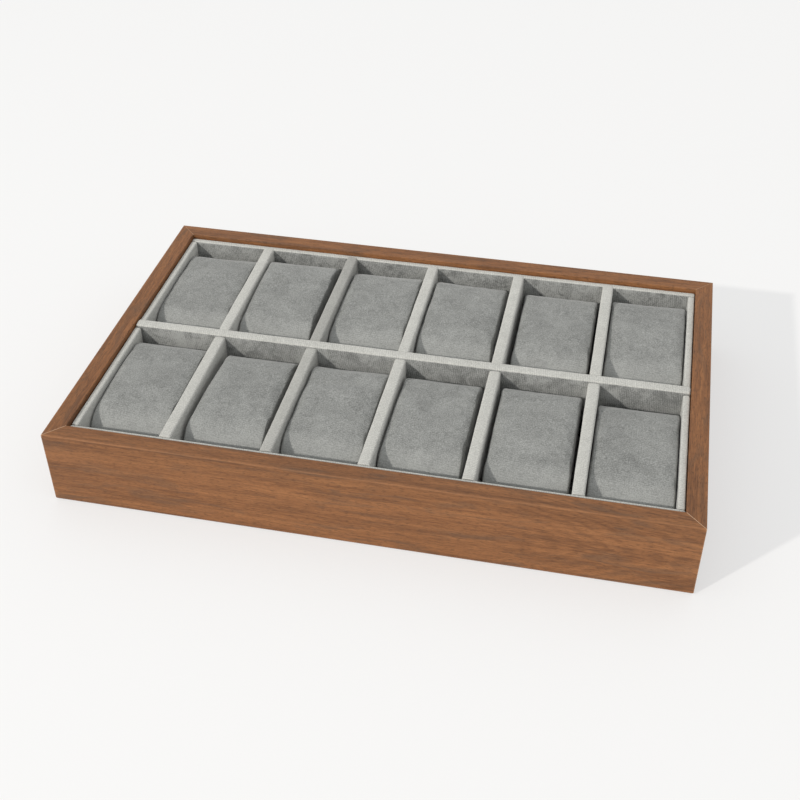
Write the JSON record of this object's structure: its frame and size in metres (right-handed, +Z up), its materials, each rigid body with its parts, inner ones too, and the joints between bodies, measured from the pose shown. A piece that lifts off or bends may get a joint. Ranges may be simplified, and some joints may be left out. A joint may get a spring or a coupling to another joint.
{
  "type": "watch display tray",
  "caption": "Open rectangular display tray with mitred wooden sides and velvet-lined cells in two rows, each cell holding a lift-out pillow for a watch.",
  "frame": {"origin": "under the middle of the tray, on the surface it stands on", "axes": "+X to the right along the rows of cells, +Y to the back, +Z up"},
  "size_m": [0.35, 0.223, 0.047],
  "materials": {
    "walnut_veneer": "satin walnut veneer on fibreboard",
    "spline_wood": "plain plywood",
    "base_board": "plain fibreboard",
    "base_felt": "thin felt",
    "lining_board": "plain grey board",
    "lining_velvet": "short-pile velvet",
    "pillow_velvet": "short-pile velvet",
    "pillow_foam": "soft foam block"
  },
  "bodies": {
    "tray": {"base_felt": "base_felt", "base_panel": "base_board", "centre_divider": "lining_velvet", "centre_divider_board": "lining_board", "corner_splines": "spline_wood", "divider_back_1": "lining_velvet", "divider_back_2": "lining_velvet", "divider_back_3": "lining_velvet", "divider_back_4": "lining_velvet", "divider_back_5": "lining_velvet", "divider_boards": "lining_board", "divider_front_1": "lining_velvet", "divider_front_2": "lining_velvet", "divider_front_3": "lining_velvet", "divider_front_4": "lining_velvet", "divider_front_5": "lining_velvet", "floor_board": "lining_board", "floor_velvet": "lining_velvet", "liner_back": "lining_velvet", "liner_boards": "lining_board", "liner_front": "lining_velvet", "liner_left_back": "lining_velvet", "liner_left_front": "lining_velvet", "liner_right_back": "lining_velvet", "liner_right_front": "lining_velvet", "rail_back": "walnut_veneer", "rail_front": "walnut_veneer", "rail_left": "walnut_veneer", "rail_right": "walnut_veneer"},
    "pillow_back_1": {"pillow_back_1_cover": "pillow_velvet", "pillow_back_1_foam": "pillow_foam"},
    "pillow_back_2": {"pillow_back_2_cover": "pillow_velvet", "pillow_back_2_foam": "pillow_foam"},
    "pillow_back_3": {"pillow_back_3_cover": "pillow_velvet", "pillow_back_3_foam": "pillow_foam"},
    "pillow_back_4": {"pillow_back_4_cover": "pillow_velvet", "pillow_back_4_foam": "pillow_foam"},
    "pillow_back_5": {"pillow_back_5_cover": "pillow_velvet", "pillow_back_5_foam": "pillow_foam"},
    "pillow_back_6": {"pillow_back_6_cover": "pillow_velvet", "pillow_back_6_foam": "pillow_foam"},
    "pillow_front_1": {"pillow_front_1_cover": "pillow_velvet", "pillow_front_1_foam": "pillow_foam"},
    "pillow_front_2": {"pillow_front_2_cover": "pillow_velvet", "pillow_front_2_foam": "pillow_foam"},
    "pillow_front_3": {"pillow_front_3_cover": "pillow_velvet", "pillow_front_3_foam": "pillow_foam"},
    "pillow_front_4": {"pillow_front_4_cover": "pillow_velvet", "pillow_front_4_foam": "pillow_foam"},
    "pillow_front_5": {"pillow_front_5_cover": "pillow_velvet", "pillow_front_5_foam": "pillow_foam"},
    "pillow_front_6": {"pillow_front_6_cover": "pillow_velvet", "pillow_front_6_foam": "pillow_foam"}
  },
  "joints": [
    {"name": "pillow_back_1_lift", "type": "slide", "parent": "tray", "child": "pillow_back_1", "axis": [0, 0, 1], "range_m": [0, 0.06]},
    {"name": "pillow_back_2_lift", "type": "slide", "parent": "tray", "child": "pillow_back_2", "axis": [0, 0, 1], "range_m": [0, 0.06]},
    {"name": "pillow_back_3_lift", "type": "slide", "parent": "tray", "child": "pillow_back_3", "axis": [0, 0, 1], "range_m": [0, 0.06]},
    {"name": "pillow_back_4_lift", "type": "slide", "parent": "tray", "child": "pillow_back_4", "axis": [0, 0, 1], "range_m": [0, 0.06]},
    {"name": "pillow_back_5_lift", "type": "slide", "parent": "tray", "child": "pillow_back_5", "axis": [0, 0, 1], "range_m": [0, 0.06]},
    {"name": "pillow_back_6_lift", "type": "slide", "parent": "tray", "child": "pillow_back_6", "axis": [0, 0, 1], "range_m": [0, 0.06]},
    {"name": "pillow_front_1_lift", "type": "slide", "parent": "tray", "child": "pillow_front_1", "axis": [0, 0, 1], "range_m": [0, 0.06]},
    {"name": "pillow_front_2_lift", "type": "slide", "parent": "tray", "child": "pillow_front_2", "axis": [0, 0, 1], "range_m": [0, 0.06]},
    {"name": "pillow_front_3_lift", "type": "slide", "parent": "tray", "child": "pillow_front_3", "axis": [0, 0, 1], "range_m": [0, 0.06]},
    {"name": "pillow_front_4_lift", "type": "slide", "parent": "tray", "child": "pillow_front_4", "axis": [0, 0, 1], "range_m": [0, 0.06]},
    {"name": "pillow_front_5_lift", "type": "slide", "parent": "tray", "child": "pillow_front_5", "axis": [0, 0, 1], "range_m": [0, 0.06]},
    {"name": "pillow_front_6_lift", "type": "slide", "parent": "tray", "child": "pillow_front_6", "axis": [0, 0, 1], "range_m": [0, 0.06]}
  ]
}
